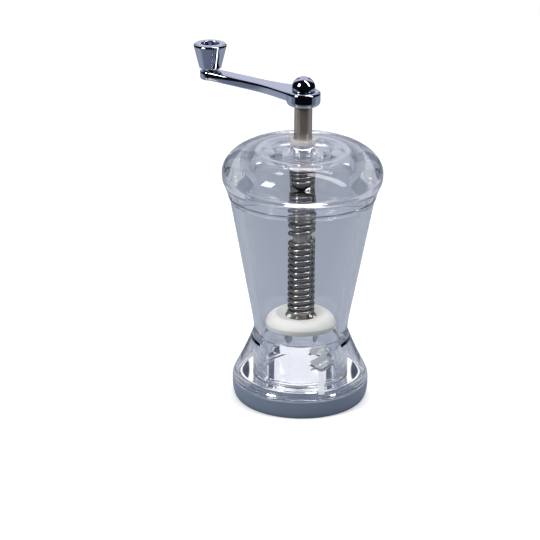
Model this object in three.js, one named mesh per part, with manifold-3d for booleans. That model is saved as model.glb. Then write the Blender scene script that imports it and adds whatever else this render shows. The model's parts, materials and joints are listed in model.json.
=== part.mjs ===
// A hand-cranked nutmeg grater: a clear tumbler on a flared foot, a domed lid, and a sprung plunger
// whose claws press and turn a nutmeg over one serrated blade. All sizes are in millimetres.
// The mill stands on z = 0 and its shaft runs up along +Z. The crank points along -X.
import * as THREE from 'three';
import { mergeVertices } from 'three/addons/utils/BufferGeometryUtils.js';
import Module from 'manifold-3d';

const wasm = await Module();
wasm.setup();

// Driving dimensions
const fit = 0.3;                  // gap between pieces that seat on each other
const runningFit = 0.3;           // radial gap round what turns or slides

const rimRadius = 31.3;           // base ring, widest
const rimHeight = 8.6;
const rimTuck = 1.7;              // how far the ring draws in at the table
const ringBore = 25.4;

const discThickness = 1.0;
const discRise = 2.0;             // how far the blade disc stands above its rim's foot
const slotWidth = 3.4;            // way out for the grated nutmeg
const bladeThickness = 0.7;
const bladeFlat = 3.6;            // riveted part
const bladeStart = 5.2;           // where the flat part begins, across from the axis
const bladeNearEnd = 5.0;         // along the blade, out from the axis
const bladeFarEnd = 18.0;         // the corner past the bore is cut to the bore's curve
const bladeRamp = 4.0;            // raised part, along its slope
const bladeRise = 24;             // degrees
const bladeTeeth = 8;
const toothDepth = 0.8;
const rivetInset = 1.9;           // from the blade's near end to the first rivet
const rivetSpacing = 5.3;
const rivetRadius = 0.8;
const rivetHeadRadius = 1.4;
const rivetHeadHeight = 0.6;

const footWall = 2.6;
const footHeight = 31.6;          // top of the foot, where the tumbler stands
const footCrown = 1.1;            // width of the land at the top
const socketWall = 1.3;
const flareInnerTop = 27.8;       // where the flare's inside meets the socket

const chamberRadius = 17.2;       // bore over the blade
const chamberHeight = 36;         // level where the bore starts to widen
const spigotWall = 3.2;
const waistRadius = 21.5;
const waistBlend = 18.1;          // height of the curve from the waist to the straight wall
const wallSlope = 0.1833;         // radius gained per millimetre of height
const shoulderHeight = 94.7;      // foot of the tumbler's flange
const wallTopRadius = 32.4;
const mouthWall = 5.4;
const flangeRadius = 33.3;
const flangeHeight = 2.7;
const mouthSpigotHeight = 4.6;
const mouthSpigotWall = 3.7;

const lidRadius = 36.1;
const lidConeHeight = 6.6;        // undercut from the tumbler's flange to the band
const lidBandHeight = 3.6;
const lidDomeHeight = 13.4;
const lidCrownRadius = 14;        // the flat middle of the dome
const lidBossRadius = 11.8;
const lidBossDrop = 4.7;
const lidRoof = 8.0;              // thickness of the lid at its middle
const lidHollowRadius = 24.0;     // the hollow above the room for the tumbler's lip
const lidHollowRound = 7.0;       // rounding between the roof and the side of the hollow
const lipRoom = 0.6;              // clearance over the lip

const shaftRadius = 4.0;
const bushWall = 1.1;
const bushFlangeRadius = 6.85;
const bushFlangeHeight = 1.8;

const springWire = 1.7;
const springMean = 10.8;          // diameter to the middle of the wire
const springSeatWall = 0.8;       // thickness of the two washers

const pusherRadius = 16.1;
const pusherRim = 2.4;            // height of the straight rim
const pusherHeight = 5.9;
const pusherFlatRadius = 11.0;    // where the top begins to dish towards the pocket
const pusherDish = 0.9;
const pusherPocketDepth = 2.9;
const pusherBase = 35.1;          // level of the pusher's underside as drawn
const pocketFit = 0.3;            // radial gap round the lower washer
const squareSize = 5.4;           // square on both ends of the shaft

const clawPlateThickness = 0.8;
const clawReach = 7.3;            // radius of the middle of a claw
const clawWidth = 4.6;
const clawDrop = 6.8;
const clawCount = 3;
const clawTurn = 17;              // degrees, direction of the first claw
const screwShank = 1.5;
const screwHeadRadius = 3.3;
const screwHeadHeight = 1.9;
const screwDepth = 8;

const crankGap = 14.9;            // bush to hub, the stroke that is left as drawn
const crankReach = 54.0;
const hubRadius = 7.55;
const hubHeight = 6.6;
const hubTopRound = 1.3;
const hubLowRound = 2.0;
const armThickness = 4.0;
const armHalfWidth = 3.9;
const armBevel = 0.75;
const armEndRadius = 4.7;
const armFlareLength = 26;        // from the axis to where the arm starts to widen
const studRadius = 2.3;
const capRadius = 5.2;
const capHeight = 6.2;
const capWall = 1.3;              // above the stud

const knobTopRadius = 7.5;
const knobBottomRadius = 5.0;
const knobWasherThickness = 0.5;
const knobWasherRadius = 3.7;
const knobHeight = 11.4;
const knobRound = 1.2;
const knobRecessRadius = 4.1;
const knobRecessDepth = 3.8;
const pinRadius = 2.0;
const pinHeadRadius = 3.3;
const pinHeadHeight = 1.0;
const pinFootRadius = 3.0;
const pinFootHeight = 0.9;         // sits flush in a counterbore under the arm

const roundSides = 40;            // facets round the large turned pieces
const smallSides = 28;

// Levels and radii that follow from the driving dimensions
const discFoot = rimHeight + fit;
const discBase = discFoot + discRise;
const discTop = discBase + discThickness;
const footBase = rimHeight + fit;
const footBore = rimRadius - footWall;
const discRadius = footBore - fit;
const spigotRadius = chamberRadius + spigotWall;
const socketBore = spigotRadius + fit;
const socketRadius = socketBore + socketWall;
const chamberFloor = discTop + fit;

const waistBase = footHeight + fit;
const wallBase = waistBase + waistBlend;
const wallBaseRadius = wallTopRadius - wallSlope * (shoulderHeight - wallBase);
const mouthRadius = wallTopRadius - mouthWall;
const flangeTop = shoulderHeight + flangeHeight;
const mouthTop = flangeTop + mouthSpigotHeight;
const mouthSpigotRadius = mouthRadius + mouthSpigotWall;

const lidBase = flangeTop + fit;
const lidBore = mouthSpigotRadius + fit;
const lidBandBase = lidBase + lidConeHeight;
const lidBandTop = lidBandBase + lidBandHeight;
const lidTop = lidBandTop + lidDomeHeight;
const lidCeiling = lidTop - lidRoof;
const lidBossBase = lidCeiling - lidBossDrop;

const bushBore = shaftRadius + runningFit;
const bushRadius = bushBore + bushWall;
const bushTop = lidTop + fit + bushFlangeHeight;
const capWasherTop = lidBossBase - fit;
const capWasherBase = capWasherTop - springSeatWall;
const washerRadius = (springMean + springWire) / 2 + 0.4;

const pusherTop = pusherBase + pusherHeight;
const pocketRadius = washerRadius + pocketFit;
const pocketFloor = pusherTop - pusherPocketDepth;
const washerBase = pocketFloor + fit;
const washerTop = washerBase + springSeatWall;
const springBase = washerTop + fit;
const springTop = capWasherBase - fit;
const squareHole = squareSize + 2 * fit;
const clawPlateTop = pusherBase - fit;
const clawPlateBase = clawPlateTop - clawPlateThickness;
const screwTop = clawPlateBase - fit;

const hubBase = bushTop + crankGap;
const hubTop = hubBase + hubHeight;
const armTop = hubTop - fit / 3;
const armBase = armTop - armThickness;
const capBase = hubTop + fit;
const studTop = capBase + capHeight - capWall - fit;
const knobWasherBase = armTop + fit;
const knobBase = knobWasherBase + knobWasherThickness + fit;
const knobTop = knobBase + knobHeight;
const recessFloor = knobTop - knobRecessDepth;

// Half the difference of the reaches to the left and to the right puts x = 0 in the middle.
const axisShift = (crankReach + knobTopRadius - lidRadius) / 2;

// Turns a closed three.js geometry into a solid, with its faces pointing out.
function toSolid(geometry) {
  const bare = geometry.index ? geometry.toNonIndexed() : geometry.clone();
  bare.deleteAttribute('normal');
  bare.deleteAttribute('uv');
  const merged = mergeVertices(bare, 1e-4);
  const index = merged.index.array;
  const triVerts = [];
  for (let i = 0; i < index.length; i += 3) {
    const [a, b, c] = [index[i], index[i + 1], index[i + 2]];
    if (a !== b && b !== c && c !== a) triVerts.push(a, b, c);
  }
  const vertProperties = merged.attributes.position.array;
  const build = (tris) => new wasm.Manifold(new wasm.Mesh({
    numProp: 3, vertProperties, triVerts: new Uint32Array(tris),
  }));
  const solid = build(triVerts);
  if (solid.volume() > 0) return solid;
  const turned = [];
  for (let i = 0; i < triVerts.length; i += 3) {
    turned.push(triVerts[i], triVerts[i + 2], triVerts[i + 1]);
  }
  return build(turned);
}

function toGeometry(solid) {
  const { vertProperties, triVerts } = solid.getMesh();
  const geometry = new THREE.BufferGeometry();
  geometry.setAttribute('position', new THREE.BufferAttribute(new Float32Array(vertProperties), 3));
  geometry.setIndex(new THREE.BufferAttribute(new Uint32Array(triVerts), 1));
  geometry.computeVertexNormals();
  return geometry;
}

// A turned solid: the outline is a list of [radius, height] that closes on itself or on the axis.
function turned(outline, sides = roundSides) {
  const points = outline.map(([r, z]) => new THREE.Vector2(r, z));
  if (outline[0][0] > 0) points.push(points[0].clone());
  return toSolid(new THREE.LatheGeometry(points, sides).rotateX(Math.PI / 2));
}

// Points along a curve through four guide points, without its first one.
function curve(a, b, c, d, steps) {
  const guides = [a, b, c, d].map(([r, z]) => new THREE.Vector2(r, z));
  const bend = new THREE.CubicBezierCurve(...guides);
  return bend.getPoints(steps).slice(1).map((p) => [p.x, p.y]);
}

// Points along a circle's arc from one angle to another in degrees, without its first one.
function arc(r, z, radius, from, to, steps) {
  const points = [];
  for (let i = 1; i <= steps; i += 1) {
    const angle = THREE.MathUtils.degToRad(from + (to - from) * i / steps);
    points.push([r + radius * Math.cos(angle), z + radius * Math.sin(angle)]);
  }
  return points;
}

function rod(radius, low, high, sides = smallSides) {
  const geometry = new THREE.CylinderGeometry(radius, radius, high - low, sides);
  return toSolid(geometry.rotateX(Math.PI / 2).translate(0, 0, (low + high) / 2));
}

function tubeRing(outer, inner, low, high, sides = smallSides) {
  return turned([[inner, low], [outer, low], [outer, high], [inner, high]], sides);
}

function block(width, depth, low, high) {
  const geometry = new THREE.BoxGeometry(width, depth, high - low);
  return toSolid(geometry.translate(0, 0, (low + high) / 2));
}

const clearAcrylic = { color: 0xdfe4ea, roughness: 0.05, metalness: 0, transparent: true, opacity: 0.35 };
const chromePlate = { color: 0xaab0c0, roughness: 0.12, metalness: 1 };
const steel = { color: 0xa9a39b, roughness: 0.3, metalness: 1 };
const mirrorSteel = { color: 0xc9cbd0, roughness: 0.1, metalness: 1 };
const springSteel = { color: 0x6f6d6c, roughness: 0.25, metalness: 1 };
const ivoryNylon = { color: 0xe6e3da, roughness: 0.45, metalness: 0 };
const greyRing = { color: 0x727e90, roughness: 0.35, metalness: 0.2 };

const grater = new THREE.Group();
grater.position.x = axisShift;

function add(name, solid, finish) {
  const mesh = new THREE.Mesh(toGeometry(solid), new THREE.MeshStandardMaterial(finish));
  mesh.name = name;
  grater.add(mesh);
  return mesh;
}

// Base ring: a heavy flat-topped ring that the foot and the blade disc stand on.
function baseRing() {
  const outer = curve(
    [rimRadius - rimTuck, 0],
    [rimRadius - rimTuck / 3, rimHeight * 0.15],
    [rimRadius, rimHeight * 0.4],
    [rimRadius, rimHeight],
    5,
  );
  return turned([
    [ringBore, 0],
    [rimRadius - rimTuck, 0],
    ...outer,
    [ringBore, rimHeight],
  ]);
}

// Foot: a flared bell with a socket hanging inside it, which holds the tumbler's spigot.
function flaredFoot() {
  const crown = socketBore + footCrown;
  const flareHeight = footHeight - footBase;
  const outer = curve(
    [rimRadius, footBase],
    [rimRadius, footBase + flareHeight * 0.19],
    [rimRadius - (rimRadius - crown) * 0.32, footBase + flareHeight * 0.25],
    [crown, footHeight],
    9,
  );
  const innerHeight = flareInnerTop - chamberFloor;
  const inner = curve(
    [socketRadius, flareInnerTop],
    [footBore - (footBore - socketRadius) * 0.73, flareInnerTop - innerHeight * 0.33],
    [footBore - (footBore - socketRadius) * 0.31, chamberFloor + innerHeight * 0.23],
    [footBore, chamberFloor],
    8,
  );
  return turned([
    [rimRadius, footBase],
    ...outer,
    [socketBore, footHeight],
    [socketBore, chamberFloor],
    [socketRadius, chamberFloor],
    [socketRadius, flareInnerTop],
    ...inner,
    [footBore, footBase],
  ]);
}

// Tumbler: a thick clear wall, straight above a curved waist, with a bore that narrows to the
// grating chamber. A flange at the mouth carries the lid, round an upstanding lip.
function hopperBody() {
  const outer = curve(
    [waistRadius, waistBase],
    [waistRadius, waistBase + waistBlend * 0.25],
    [wallBaseRadius - wallSlope * waistBlend * 0.45, wallBase - waistBlend * 0.45],
    [wallBaseRadius, wallBase],
    5,
  );
  const boreSlope = (mouthRadius - chamberRadius) / (shoulderHeight - chamberHeight);
  const blend = 7;
  const inner = curve(
    [chamberRadius + boreSlope * blend, chamberHeight + blend],
    [chamberRadius + boreSlope * blend * 0.3, chamberHeight + blend * 0.3],
    [chamberRadius, chamberHeight],
    [chamberRadius, chamberHeight - blend],
    3,
  );
  const lipRound = 0.8;
  return turned([
    [chamberRadius, chamberFloor],
    [spigotRadius, chamberFloor],
    [spigotRadius, waistBase],
    [waistRadius, waistBase],
    ...outer,
    [wallTopRadius, shoulderHeight],
    [flangeRadius - 0.4, flangeTop - flangeHeight * 0.35],
    [flangeRadius, flangeTop],
    [mouthSpigotRadius, flangeTop],
    [mouthSpigotRadius, mouthTop - lipRound],
    [mouthSpigotRadius - lipRound, mouthTop],
    [mouthRadius + lipRound, mouthTop],
    [mouthRadius, mouthTop - lipRound],
    [mouthRadius, shoulderHeight],
    [chamberRadius + boreSlope * blend, chamberHeight + blend],
    ...inner,
  ]);
}

// Blade disc: a shallow polished pan, bottom up on the ring, with a slot under the blade's edge.
// The blade lies along +Y beside the axis, with its raised edge towards -X.
const bladeLength = bladeFarEnd - bladeNearEnd;
const bladeMiddle = (bladeFarEnd + bladeNearEnd) / 2;
const rampSine = Math.sin(THREE.MathUtils.degToRad(bladeRise));
const rivetLine = bladeStart + bladeFlat / 2;
const rivetSpots = [0, 1].map((i) => [rivetLine, bladeNearEnd + rivetInset + i * rivetSpacing]);
const bladeBase = discTop + fit;

function bladeDisc() {
  const edge = 0.6;
  const slot = block(slotWidth, bladeLength - 1, discBase - 1, discTop + 1)
    .translate([bladeStart - slotWidth / 2 - 0.4, bladeMiddle - 0.5, 0]);
  let disc = turned([
    [0, discBase],
    [discRadius - discThickness, discBase],
    [discRadius - discThickness, discFoot],
    [discRadius, discFoot],
    [discRadius, discTop - edge],
    [discRadius - edge * 0.3, discTop - edge * 0.3],
    [discRadius - edge, discTop],
    [0, discTop],
  ]).subtract(slot);
  for (const [x, y] of rivetSpots) {
    disc = disc.subtract(rod(rivetRadius + fit, discBase - 1, discTop + 1, 16).translate([x, y, 0]));
  }
  return disc;
}

// Blade: a strip bent up at a shallow angle, with triangular teeth along the raised edge. Its outer
// end follows the bore.
function gratingBlade() {
  const pitch = bladeLength / bladeTeeth;
  const ramp = new THREE.Shape();
  ramp.moveTo(0, bladeNearEnd);
  ramp.lineTo(-bladeRamp + toothDepth, bladeNearEnd);
  for (let i = 0; i < bladeTeeth; i += 1) {
    ramp.lineTo(-bladeRamp, bladeNearEnd + pitch * (i + 0.5));
    ramp.lineTo(-bladeRamp + toothDepth, bladeNearEnd + pitch * (i + 1));
  }
  ramp.lineTo(0, bladeFarEnd);
  const raised = toSolid(new THREE.ExtrudeGeometry(ramp, { depth: bladeThickness, bevelEnabled: false })
    .rotateY(THREE.MathUtils.degToRad(bladeRise))
    .translate(bladeStart, 0, bladeBase));
  const overlap = bladeThickness * rampSine;
  let blade = block(bladeFlat + overlap, bladeLength, bladeBase, bladeBase + bladeThickness)
    .translate([bladeStart + (bladeFlat + overlap) / 2, bladeMiddle, 0])
    .add(raised)
    .intersect(rod(chamberRadius - fit, bladeBase - 1, bladeBase + 5, roundSides));
  for (const [x, y] of rivetSpots) {
    blade = blade.subtract(rod(rivetRadius + fit, bladeBase - 1, bladeBase + 2, 16).translate([x, y, 0]));
  }
  return blade;
}

function bladeRivet([x, y]) {
  const seat = bladeBase + bladeThickness + fit;
  const foot = discBase - fit - rivetHeadHeight;
  return turned([
    [0, foot],
    [rivetHeadRadius, foot],
    [rivetHeadRadius, discBase - fit],
    [rivetRadius, discBase - fit],
    [rivetRadius, seat],
    [rivetHeadRadius, seat],
    [rivetHeadRadius * 0.7, seat + rivetHeadHeight],
    [0, seat + rivetHeadHeight],
  ], 16).translate([x, y, 0]);
}

// Lid: a very thick dome over a straight band, and an undercut that meets the tumbler's flange. Its
// hollow is narrower than the room for the tumbler's lip, and a boss in it holds the bush.
function lidDome() {
  const dome = curve(
    [lidRadius - 0.1, lidBandTop],
    [lidRadius - 0.4, lidBandTop + lidDomeHeight * 0.49],
    [lidCrownRadius + (lidRadius - lidCrownRadius) * 0.58, lidTop],
    [lidCrownRadius, lidTop],
    11,
  );
  const roofStart = lidBossRadius + 1.6;
  const roofEnd = lidHollowRadius - lidHollowRound;
  const hollow = curve(
    [roofEnd, lidCeiling],
    [lidHollowRadius - lidHollowRound * 0.4, lidCeiling],
    [lidHollowRadius, lidCeiling - lidHollowRound * 0.4],
    [lidHollowRadius, lidCeiling - lidHollowRound],
    7,
  );
  return turned([
    [lidBore, lidBase],
    [flangeRadius, lidBase],
    [lidRadius - 0.1, lidBandBase],
    [lidRadius, lidBandBase + lidBandHeight / 2],
    [lidRadius - 0.1, lidBandTop],
    ...dome,
    [bushRadius + fit, lidTop],
    [bushRadius + fit, lidBossBase],
    [lidBossRadius, lidBossBase],
    [roofStart, lidCeiling],
    [roofEnd, lidCeiling],
    ...hollow,
    [lidHollowRadius, mouthTop + lipRoom],
    [lidBore, mouthTop + lipRoom],
  ]);
}

// Bush: a flanged sleeve down through the lid, in which the shaft turns and slides.
function shaftBush() {
  const round = 0.5;
  const seat = lidTop + fit;
  return turned([
    [bushBore, lidBossBase],
    [bushRadius, lidBossBase],
    [bushRadius, seat],
    [bushFlangeRadius - round, seat],
    [bushFlangeRadius, seat + round],
    [bushFlangeRadius, bushTop - round],
    [bushFlangeRadius - round, bushTop],
    [bushBore, bushTop],
  ], 36);
}

// Pressure spring: one unbroken wire, with closed ends, an even wind and one opened turn.
// Each stretch is [turns, share], where the share says how steeply its turns climb.
const springRun = springTop - springBase - springWire;
const closedPitch = springWire + 0.55;
const closedTurns = 1;
const openTurns = 21;
const wideTurn = 13.0;            // place of the opened turn, counted from the bottom
const evenPitch = (springRun - 2 * closedTurns * closedPitch) / (openTurns + 1.1);

function springHeight(turn) {
  const fromTop = openTurns + 2 * closedTurns - turn;
  if (turn <= closedTurns) return turn * closedPitch;
  if (fromTop <= closedTurns) return springRun - fromTop * closedPitch;
  const opened = Math.min(Math.max(turn - wideTurn, 0), 1);
  const ease = opened * opened * (3 - 2 * opened);
  return closedTurns * closedPitch + (turn - closedTurns) * evenPitch + 1.1 * evenPitch * ease;
}

function pressureSpring() {
  const turns = openTurns + 2 * closedTurns;
  const stepsPerTurn = 8;
  const sides = 5;
  const radius = springMean / 2;
  const middles = [];
  const frames = [];
  const steps = turns * stepsPerTurn;
  for (let i = 0; i <= steps; i += 1) {
    const turn = i / stepsPerTurn;
    const angle = turn * 2 * Math.PI;
    const out = new THREE.Vector3(Math.cos(angle), Math.sin(angle), 0);
    const climb = (springHeight(turn + 0.01) - springHeight(turn - 0.01)) / 0.02;
    const along = new THREE.Vector3(-Math.sin(angle), Math.cos(angle), 0)
      .multiplyScalar(2 * Math.PI * radius);
    along.z = climb;
    along.normalize();
    const height = springBase + springWire / 2 + springHeight(turn);
    middles.push(out.clone().multiplyScalar(radius).setZ(height));
    frames.push([out, along, new THREE.Vector3().crossVectors(along, out)]);
  }
  // Both cut ends run straight on for one wire diameter.
  const first = middles[0].clone().addScaledVector(frames[0][1].clone().setZ(0), -springWire);
  const last = middles[steps].clone().addScaledVector(frames[steps][1].clone().setZ(0), springWire);
  middles.unshift(first);
  frames.unshift(frames[0]);
  middles.push(last);
  frames.push(frames[frames.length - 1]);

  const positions = [];
  middles.forEach((middle, i) => {
    const [out, , up] = frames[i];
    for (let k = 0; k < sides; k += 1) {
      const angle = (k / sides) * 2 * Math.PI;
      const corner = middle.clone()
        .addScaledVector(out, Math.cos(angle) * springWire / 2)
        .addScaledVector(up, Math.sin(angle) * springWire / 2);
      positions.push(corner.x, corner.y, corner.z);
    }
  });
  const index = [];
  for (let i = 0; i < middles.length - 1; i += 1) {
    for (let k = 0; k < sides; k += 1) {
      const a = i * sides + k;
      const b = i * sides + (k + 1) % sides;
      index.push(a, b, a + sides, b, b + sides, a + sides);
    }
  }
  const tail = (middles.length - 1) * sides;
  for (let k = 1; k < sides - 1; k += 1) {
    index.push(0, k + 1, k);
    index.push(tail, tail + k, tail + k + 1);
  }
  let least = Infinity;
  for (let i = 0; i < middles.length; i += 1) {
    for (let j = i + stepsPerTurn / 2; j < middles.length; j += 1) {
      least = Math.min(least, middles[i].distanceTo(middles[j]) - springWire);
    }
  }
  console.log(`pressure spring: ${turns} turns, least gap to itself ${least.toFixed(2)} mm`);
  const geometry = new THREE.BufferGeometry();
  geometry.setAttribute('position', new THREE.Float32BufferAttribute(positions, 3));
  geometry.setIndex(index);
  return toSolid(geometry);
}

// Shaft: round in the bush, squared at both ends for the pusher and the crank, with a stud on
// top for the cap nut and a tapped hole below for the claw screw.
function driveShaft() {
  const shoulder = pocketFloor + fit;
  const squareTop = hubTop;
  return rod(shaftRadius, shoulder, hubBase - fit, smallSides)
    .add(block(squareSize, squareSize, pusherBase, shoulder + 1))
    .add(block(squareSize, squareSize, hubBase - fit - 1, squareTop))
    .add(rod(studRadius, squareTop - 1, studTop, 20))
    .subtract(rod(screwShank + fit, pusherBase - 1, pusherBase + screwDepth, 16));
}

// Pusher: a thick nylon disc with a rounded shoulder. Its top dishes to a pocket for the lower washer,
// and a square hole takes the shaft.
function pusherDisc() {
  const dome = curve(
    [pusherRadius, pusherBase + pusherRim],
    [pusherRadius - 0.5, pusherBase + pusherRim + 1.6],
    [pusherFlatRadius + 3, pusherTop],
    [pusherFlatRadius, pusherTop],
    6,
  );
  const body = turned([
    [0, pusherBase],
    [pusherRadius - 0.8, pusherBase],
    [pusherRadius - 0.4, pusherBase + 0.4],
    [pusherRadius, pusherBase + pusherRim],
    ...dome,
    [pocketRadius + 0.3, pusherTop - pusherDish],
    [pocketRadius, pusherTop - pusherDish - 0.3],
    [pocketRadius, pocketFloor],
    [0, pocketFloor],
  ], 40);
  return body.subtract(block(squareHole, squareHole, pusherBase - 1, pocketFloor + 1));
}

// Claw plate: a pressed steel washer with three blunt claws bent down.
function clawPlate() {
  const rimOut = clawReach + clawPlateThickness / 2;
  let pressed = tubeRing(rimOut, screwShank + fit, clawPlateBase, clawPlateTop, 30);
  const tooth = new THREE.Shape();
  const half = clawWidth / 2;
  tooth.moveTo(-half, 0);
  tooth.lineTo(-half * 0.95, -clawDrop * 0.72);
  tooth.lineTo(-half * 0.35, -clawDrop);
  tooth.lineTo(half * 0.35, -clawDrop);
  tooth.lineTo(half * 0.95, -clawDrop * 0.72);
  tooth.lineTo(half, 0);
  for (let i = 0; i < clawCount; i += 1) {
    const turn = clawTurn + i * 360 / clawCount;
    const geometry = new THREE.ExtrudeGeometry(tooth, {
      depth: clawPlateThickness, bevelEnabled: false,
    });
    geometry.rotateX(Math.PI / 2).translate(0, clawReach + clawPlateThickness / 2 - 0.25, 0);
    geometry.translate(0, 0, clawPlateBase + 0.2).rotateZ(THREE.MathUtils.degToRad(turn - 90));
    pressed = pressed.add(toSolid(geometry));
  }
  return pressed;
}

function clawScrew() {
  const slot = block(screwHeadRadius * 2 + 1, 0.9, screwTop - screwHeadHeight - 1,
    screwTop - screwHeadHeight + 0.7);
  return turned([
    [0, screwTop - screwHeadHeight],
    [screwHeadRadius * 0.75, screwTop - screwHeadHeight],
    [screwHeadRadius, screwTop - screwHeadHeight * 0.5],
    [screwHeadRadius, screwTop],
    [screwShank, screwTop],
    [screwShank, pusherBase + screwDepth - 1.5],
    [0, pusherBase + screwDepth - 1.5],
  ], 20).subtract(slot);
}

// Crank: a flat arm that widens into a round hub, cast in one piece and plated.
function crankArm() {
  const hub = turned([
    [0, hubBase],
    [hubRadius - hubLowRound, hubBase],
    ...arc(hubRadius - hubLowRound, hubBase + hubLowRound, hubLowRound, -90, 0, 5),
    [hubRadius, hubTop - hubTopRound],
    ...arc(hubRadius - hubTopRound, hubTop - hubTopRound, hubTopRound, 0, 90, 4),
    [0, hubTop],
  ], 36);
  const arm = new THREE.Shape();
  const neck = crankReach - armEndRadius * 1.4;
  const tip = Math.asin(Math.min(armHalfWidth / armEndRadius, 0.95)) + 0.35;
  const hubEdge = hubRadius * 0.94;
  arm.moveTo(0, -hubEdge);
  arm.bezierCurveTo(-hubRadius * 1.1, -hubEdge, -armFlareLength * 0.55, -armHalfWidth, -armFlareLength,
    -armHalfWidth);
  arm.lineTo(-neck, -armHalfWidth);
  arm.absarc(-crankReach, 0, armEndRadius, -tip, tip, true);
  arm.lineTo(-neck, armHalfWidth);
  arm.lineTo(-armFlareLength, armHalfWidth);
  arm.bezierCurveTo(-armFlareLength * 0.55, armHalfWidth, -hubRadius * 1.1, hubEdge, 0, hubEdge);
  const bar = toSolid(new THREE.ExtrudeGeometry(arm, {
    depth: armThickness - 2 * armBevel,
    bevelEnabled: true,
    bevelThickness: armBevel,
    bevelSize: armBevel,
    bevelOffset: -armBevel,
    bevelSegments: 3,
    curveSegments: 10,
  }).translate(0, 0, armBase + armBevel));
  const squareWay = block(squareHole, squareHole, hubBase - 1, hubTop + 1);
  const pinWay = rod(pinRadius + fit, armBase - 1, armTop + 1, 20)
    .add(rod(pinFootRadius + fit, armBase - 1, armBase + pinFootHeight + fit, 24))
    .translate([-crankReach, 0, 0]);
  return hub.add(bar).subtract(squareWay).subtract(pinWay);
}

// Cap nut: a plain domed nut that holds the crank down on its square.
function capNut() {
  const straight = capHeight - capRadius;
  const outline = [[0, capBase], [capRadius, capBase], [capRadius, capBase + Math.max(straight, 0.2)]];
  const steps = 7;
  for (let i = 1; i <= steps; i += 1) {
    const angle = (i / steps) * Math.PI / 2;
    outline.push([
      i === steps ? 0 : capRadius * Math.cos(angle),
      capBase + Math.max(straight, 0.2) + (capHeight - Math.max(straight, 0.2)) * Math.sin(angle),
    ]);
  }
  return turned(outline, 32).subtract(rod(studRadius + fit, capBase - 1, studTop + fit, 20));
}

// Knob: a tapered grip, wider at the top, that turns on a headed pin in its recess.
function gripKnob() {
  return turned([
    [pinRadius + runningFit, knobBase],
    [knobBottomRadius - 0.4, knobBase],
    [knobBottomRadius, knobBase + 0.4],
    [knobTopRadius, knobTop - knobRound],
    ...arc(knobTopRadius - knobRound, knobTop - knobRound, knobRound, 0, 90, 4),
    [knobRecessRadius + 0.3, knobTop],
    [knobRecessRadius, knobTop - 0.3],
    [knobRecessRadius, recessFloor],
    [pinRadius + runningFit, recessFloor],
  ], 36).translate([-crankReach, 0, 0]);
}

function knobWasher() {
  return tubeRing(knobWasherRadius, pinRadius + runningFit, knobWasherBase,
    knobWasherBase + knobWasherThickness, 24).translate([-crankReach, 0, 0]);
}

function knobPin() {
  const seat = recessFloor + fit;
  return turned([
    [0, armBase],
    [pinFootRadius - 0.3, armBase],
    [pinFootRadius, armBase + 0.3],
    [pinFootRadius, armBase + pinFootHeight],
    [pinRadius, armBase + pinFootHeight],
    [pinRadius, seat],
    [pinHeadRadius, seat],
    [pinHeadRadius, seat + pinHeadHeight * 0.5],
    [pinHeadRadius * 0.7, seat + pinHeadHeight],
    [0, seat + pinHeadHeight],
  ], 24).translate([-crankReach, 0, 0]);
}

add('base_ring', baseRing(), greyRing);
add('flared_foot', flaredFoot(), clearAcrylic);
add('hopper_body', hopperBody(), clearAcrylic);
add('blade_disc', bladeDisc(), mirrorSteel);
add('grating_blade', gratingBlade(), steel);
rivetSpots.forEach((spot, i) => add(`blade_rivet_${i + 1}`, bladeRivet(spot), steel));
add('lid_dome', lidDome(), clearAcrylic);
add('shaft_bush', shaftBush(), clearAcrylic);
add('spring_cap_washer', tubeRing(washerRadius, bushBore, capWasherBase, capWasherTop), steel);
add('pressure_spring', pressureSpring(), springSteel);
add('thrust_washer', tubeRing(washerRadius, bushBore, washerBase, washerTop), steel);
add('drive_shaft', driveShaft(), steel);
add('pusher_disc', pusherDisc(), ivoryNylon);
add('claw_plate', clawPlate(), steel);
add('claw_screw', clawScrew(), steel);
add('crank_arm', crankArm(), chromePlate);
add('cap_nut', capNut(), chromePlate);
add('knob_pin', knobPin(), chromePlate);
add('knob_washer', knobWasher(), steel);
add('grip_knob', gripKnob(), chromePlate);

export default grater;
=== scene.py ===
# %% [markdown]
# # A hand-cranked nutmeg grater in clear acrylic
# The mill is a thick clear tumbler on a flared foot, with a domed lid and a chrome crank. Nearly
# everything on it is turned, so most pieces here are outlines that are spun round the shaft. What
# makes the object is how its thick walls bend what stands behind them, so the walls are modelled
# with their true inside shape, and the room that they show is drawn with as much care.

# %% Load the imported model
import json
import math
import bmesh
import bpy
from mathutils import Matrix, Vector


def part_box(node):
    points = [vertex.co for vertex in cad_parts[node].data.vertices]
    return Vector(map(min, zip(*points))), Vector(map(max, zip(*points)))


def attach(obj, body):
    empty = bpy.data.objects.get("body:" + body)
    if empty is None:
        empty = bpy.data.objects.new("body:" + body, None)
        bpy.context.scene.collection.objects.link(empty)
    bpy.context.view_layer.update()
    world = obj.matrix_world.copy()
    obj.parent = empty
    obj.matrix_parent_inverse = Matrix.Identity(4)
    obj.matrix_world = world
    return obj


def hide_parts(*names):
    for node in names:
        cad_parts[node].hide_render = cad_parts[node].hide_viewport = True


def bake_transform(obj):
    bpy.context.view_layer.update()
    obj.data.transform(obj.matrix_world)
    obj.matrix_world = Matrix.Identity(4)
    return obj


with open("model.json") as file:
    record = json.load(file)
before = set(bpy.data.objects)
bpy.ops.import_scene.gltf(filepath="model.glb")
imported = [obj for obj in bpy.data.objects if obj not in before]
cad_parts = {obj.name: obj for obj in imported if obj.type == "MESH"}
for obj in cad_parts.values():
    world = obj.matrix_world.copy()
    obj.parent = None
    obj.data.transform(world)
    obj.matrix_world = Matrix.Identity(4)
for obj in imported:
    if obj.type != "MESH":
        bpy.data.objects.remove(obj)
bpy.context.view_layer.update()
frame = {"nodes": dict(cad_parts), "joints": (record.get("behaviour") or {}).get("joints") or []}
MM = 0.001
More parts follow.
